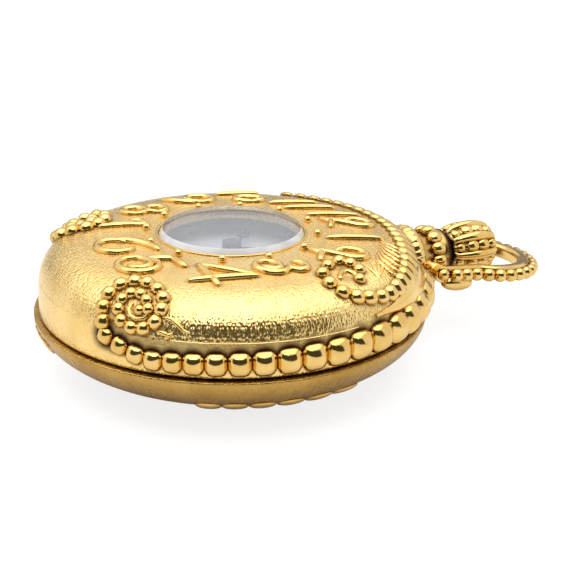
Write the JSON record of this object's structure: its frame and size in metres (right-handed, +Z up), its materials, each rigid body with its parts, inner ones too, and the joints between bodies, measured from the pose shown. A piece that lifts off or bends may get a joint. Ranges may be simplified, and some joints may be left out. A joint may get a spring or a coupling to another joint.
{
  "type": "half hunter pocket watch",
  "caption": "Pendant watch in a rounded gold case lying on its back, with a windowed lid, raised hour numerals, beaded ropes, ribbed onion crown and beaded bow.",
  "frame": {"origin": "centre of the flat on the back, where the watch rests", "axes": "+Z up through the dial, +Y to twelve o'clock and the pendant, +X to three o'clock"},
  "size_m": [0.0381, 0.0519, 0.0132],
  "materials": {
    "satin_gold": "matted gold, cut all over with fine radial strokes",
    "back_gold": "satin gold of the back",
    "bead_gold": "polished gold of the beads and the crown",
    "wire_gold": "polished gold wire",
    "case_glass": "polished watch glass",
    "dial_enamel": "white enamel",
    "dial_ink": "black enamel ink",
    "hand_steel": "oxidised steel",
    "ring_brass": "turned brass",
    "plate_gilt": "gilt brass with a grained face",
    "wheel_brass": "polished brass",
    "steel": "polished steel",
    "blued_steel": "heat-blued steel",
    "ruby": "synthetic ruby"
  },
  "bodies": {
    "case": {"back_shell": "back_gold", "back_rope_front": "bead_gold", "back_rope_left": "bead_gold", "pendant_neck": "satin_gold", "neck_granules": "bead_gold", "bow_pins": "bead_gold", "case_hinge_barrels": "back_gold", "hinge_pin": "steel", "catch_spring": "steel", "movement_ring": "ring_brass", "dust_cover": "back_gold", "inner_bezel": "bead_gold", "dial_crystal": "case_glass", "dial": "dial_enamel", "dial_markers": "dial_ink", "main_plate": "plate_gilt", "barrel_bridge": "plate_gilt", "train_bridge": "plate_gilt", "balance_cock": "plate_gilt", "bridge_screws": "blued_steel", "case_screws": "blued_steel", "jewels": "ruby", "click_spring": "steel", "hairspring": "blued_steel"},
    "lid": {"lid_shell": "satin_gold", "lid_hinge_barrels": "satin_gold", "lid_crystal": "case_glass", "crystal_bezel": "bead_gold", "lid_rope_front": "bead_gold", "lid_rope_side": "bead_gold", "lid_rope_back": "bead_gold", "hour_numerals": "wire_gold", "hour_dots": "wire_gold", "lid_lip": "wire_gold"},
    "bow": {"bow": "bead_gold", "bow_beads": "bead_gold"},
    "press_sleeve": {"pendant_sleeve": "ring_brass"},
    "pull_detent": {"detent_ring": "steel"},
    "crown": {"crown": "bead_gold", "crown_beads": "bead_gold", "winding_stem": "steel"},
    "winding_pinion": {"winding_pinion": "steel"},
    "crown_wheel": {"crown_wheel": "steel"},
    "ratchet": {"ratchet_wheel": "steel"},
    "barrel": {"mainspring_barrel": "wheel_brass", "mainspring": "blued_steel"},
    "centre_wheel": {"centre_wheel": "wheel_brass"},
    "third_wheel": {"third_wheel": "wheel_brass"},
    "fourth_wheel": {"fourth_wheel": "wheel_brass"},
    "escape_wheel": {"escape_wheel": "steel"},
    "pallet_fork": {"pallet_fork": "steel"},
    "balance": {"balance_wheel": "wheel_brass"},
    "click": {"click": "steel"},
    "minute_hand": {"minute_hand": "hand_steel"},
    "minute_wheel": {"minute_wheel": "wheel_brass"},
    "hour_hand": {"hour_hand": "hand_steel"},
    "lid_catch": {"lid_catch": "steel"}
  },
  "joints": [
    {"name": "lid_hinge", "type": "hinge", "parent": "case", "child": "lid", "pos_m": [-0.01895, 0, 0.0062], "axis": [0, -1, 0], "range_deg": [0, 105]},
    {"name": "bow_swing", "type": "hinge", "parent": "case", "child": "bow", "pos_m": [0, 0.0203, 0.0069], "axis": [1, 0, 0], "range_deg": [-74, 106]},
    {"name": "crown_press", "type": "slide", "parent": "case", "child": "press_sleeve", "axis": [0, 1, 0], "range_m": [-0.0004, 0], "stiffness_N_per_m": 800},
    {"name": "crown_pull", "type": "slide", "parent": "press_sleeve", "child": "pull_detent", "axis": [0, 1, 0], "range_m": [0, 0.0008]},
    {"name": "crown_turn", "type": "hinge", "parent": "pull_detent", "child": "crown", "pos_m": [0, 0.02355, 0.0074], "axis": [0, 1, 0], "continuous": true},
    {"name": "winding_pinion_turn", "type": "hinge", "parent": "case", "child": "winding_pinion", "pos_m": [0, 0.0081, 0.0074], "axis": [0, 1, 0], "continuous": true},
    {"name": "crown_wheel_turn", "type": "hinge", "parent": "case", "child": "crown_wheel", "pos_m": [0, 0.00564, 0.0057], "axis": [0, 0, 1], "continuous": true},
    {"name": "ratchet_turn", "type": "hinge", "parent": "case", "child": "ratchet", "pos_m": [-0.00515, 0.00297, 0.0057], "axis": [0, 0, 1], "continuous": true},
    {"name": "fourth_turn", "type": "hinge", "parent": "case", "child": "fourth_wheel", "pos_m": [-0.00135, -0.00502, 0.0063], "axis": [0, 0, 1], "continuous": true},
    {"name": "third_turn", "type": "hinge", "parent": "case", "child": "third_wheel", "pos_m": [0.00216, -0.00374, 0.0058], "axis": [0, 0, 1], "continuous": true},
    {"name": "centre_turn", "type": "hinge", "parent": "case", "child": "centre_wheel", "pos_m": [0, 0, 0.0071], "axis": [0, 0, 1], "continuous": true},
    {"name": "escape_turn", "type": "hinge", "parent": "case", "child": "escape_wheel", "pos_m": [0.00106, -0.00727, 0.0067], "axis": [0, 0, 1], "continuous": true},
    {"name": "barrel_turn", "type": "hinge", "parent": "case", "child": "barrel", "pos_m": [-0.00515, 0.00297, 0.0064], "axis": [0, 0, 1], "continuous": true},
    {"name": "minute_turn", "type": "hinge", "parent": "case", "child": "minute_hand", "pos_m": [0, 0, 0.0109], "axis": [0, 0, 1], "continuous": true},
    {"name": "minute_wheel_turn", "type": "hinge", "parent": "case", "child": "minute_wheel", "pos_m": [-0.00212, -0.00212, 0.0088], "axis": [0, 0, 1], "continuous": true},
    {"name": "hour_turn", "type": "hinge", "parent": "case", "child": "hour_hand", "pos_m": [0, 0, 0.0106], "axis": [0, 0, 1], "continuous": true},
    {"name": "balance_swing", "type": "hinge", "parent": "case", "child": "balance", "pos_m": [0.00577, -0.00449, 0.0062], "axis": [0, 0, 1], "range_deg": [-135, 135], "stiffness_Nm_per_rad": 0.000001},
    {"name": "pallet_swing", "type": "hinge", "parent": "case", "child": "pallet_fork", "pos_m": [0.0035, -0.00675, 0.0067], "axis": [0, 0, 1], "range_deg": [-8, 8]},
    {"name": "click_swing", "type": "hinge", "parent": "case", "child": "click", "pos_m": [-0.00965, 0.00557, 0.0057], "axis": [0, 0, 1], "range_deg": [-10, 14]},
    {"name": "lid_catch_slide", "type": "slide", "parent": "case", "child": "lid_catch", "axis": [1, 0, 0], "range_m": [0, 0.00035]}
  ],
  "couplings": [
    {"joint": "winding_pinion_turn", "follows": "crown_turn", "ratio": 1},
    {"joint": "crown_wheel_turn", "follows": "crown_turn", "ratio": -0.54545},
    {"joint": "ratchet_turn", "follows": "crown_turn", "ratio": 0.33333},
    {"joint": "third_turn", "follows": "fourth_turn", "ratio": -0.13333},
    {"joint": "centre_turn", "follows": "fourth_turn", "ratio": 0.016667},
    {"joint": "escape_turn", "follows": "fourth_turn", "ratio": -10},
    {"joint": "barrel_turn", "follows": "fourth_turn", "ratio": -0.0023148},
    {"joint": "hour_turn", "follows": "minute_turn", "ratio": 0.083333},
    {"joint": "minute_wheel_turn", "follows": "minute_turn", "ratio": -0.33333}
  ]
}
